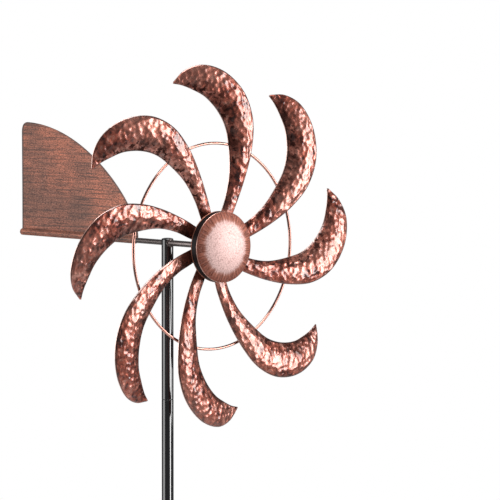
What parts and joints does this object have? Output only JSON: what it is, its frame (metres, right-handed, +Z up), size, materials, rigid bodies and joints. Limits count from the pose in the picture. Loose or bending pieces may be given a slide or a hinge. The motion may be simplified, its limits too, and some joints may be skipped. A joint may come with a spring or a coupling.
{
  "type": "kinetic wind sculpture",
  "caption": "Garden stake with a hammered copper pinwheel of curved crescent blades on a wire hoop, and a tail vane on a swivelling arm that turns it into the wind.",
  "frame": {"origin": "the pole's axis at the ground line, where the side prong leaves the stake", "axes": "+Z up along the pole; the rotor faces -Y; the tail vane trails along +Y; the prong is on the -X side"},
  "size_m": [0.482, 0.44, 1.2146],
  "materials": {
    "black_enamel": "gloss black enamel on steel tube",
    "dark_steel": "dark grey semi-gloss painted steel",
    "bright_steel": "bright zinc-plated steel",
    "bronze": "oiled sintered bronze",
    "hammered_copper": "hammered iron sheet with antique copper finish and dark patina spots",
    "brushed_copper": "brushed antique copper finish with dark grain and edges",
    "hub_copper": "brushed copper, pale at the centre and dark at the rim"
  },
  "bodies": {
    "stand": {"ground_stake": "black_enamel", "stake_prong": "black_enamel", "pole_lower": "black_enamel", "pole_middle": "black_enamel", "pole_upper": "black_enamel", "pivot_plug": "black_enamel", "pivot_pin": "bright_steel"},
    "head": {"swivel_sleeve": "black_enamel", "swivel_cap": "black_enamel", "bush_lower": "bronze", "bush_upper": "bronze", "thrust_ball": "bright_steel", "axle_rod": "dark_steel", "tail_rod": "dark_steel", "tail_vane": "brushed_copper", "vane_screw_1": "bright_steel", "vane_screw_2": "bright_steel", "axle_collar": "dark_steel", "bearing_rear_inner_race": "bright_steel", "bearing_spacer": "bright_steel", "bearing_front_inner_race": "bright_steel", "axle_washer": "bright_steel", "axle_nut": "bright_steel"},
    "rotor": {"hub_front_cap": "hub_copper", "hub_rear_disc": "hub_copper", "blade_carrier": "brushed_copper", "bearing_housing": "dark_steel", "bearing_rear_outer_race": "bright_steel", "bearing_rear_ball_cage": "bronze", "bearing_front_outer_race": "bright_steel", "bearing_front_ball_cage": "bronze", "stabilizer_ring": "hammered_copper", "blade_1": "hammered_copper", "blade_2": "hammered_copper", "blade_3": "hammered_copper", "blade_4": "hammered_copper", "blade_5": "hammered_copper", "blade_6": "hammered_copper", "blade_7": "hammered_copper", "blade_8": "hammered_copper", "blade_rivet_1": "dark_steel", "blade_rivet_2": "dark_steel", "blade_rivet_3": "dark_steel", "blade_rivet_4": "dark_steel", "blade_rivet_5": "dark_steel", "blade_rivet_6": "dark_steel", "blade_rivet_7": "dark_steel", "blade_rivet_8": "dark_steel"}
  },
  "joints": [
    {"name": "head_yaw", "type": "hinge", "parent": "stand", "child": "head", "pos_m": [0, 0, 0.811], "axis": [0, 0, 1], "continuous": true},
    {"name": "rotor_spin", "type": "hinge", "parent": "head", "child": "rotor", "pos_m": [0, -0.093, 0.811], "axis": [0, 1, 0], "continuous": true}
  ]
}
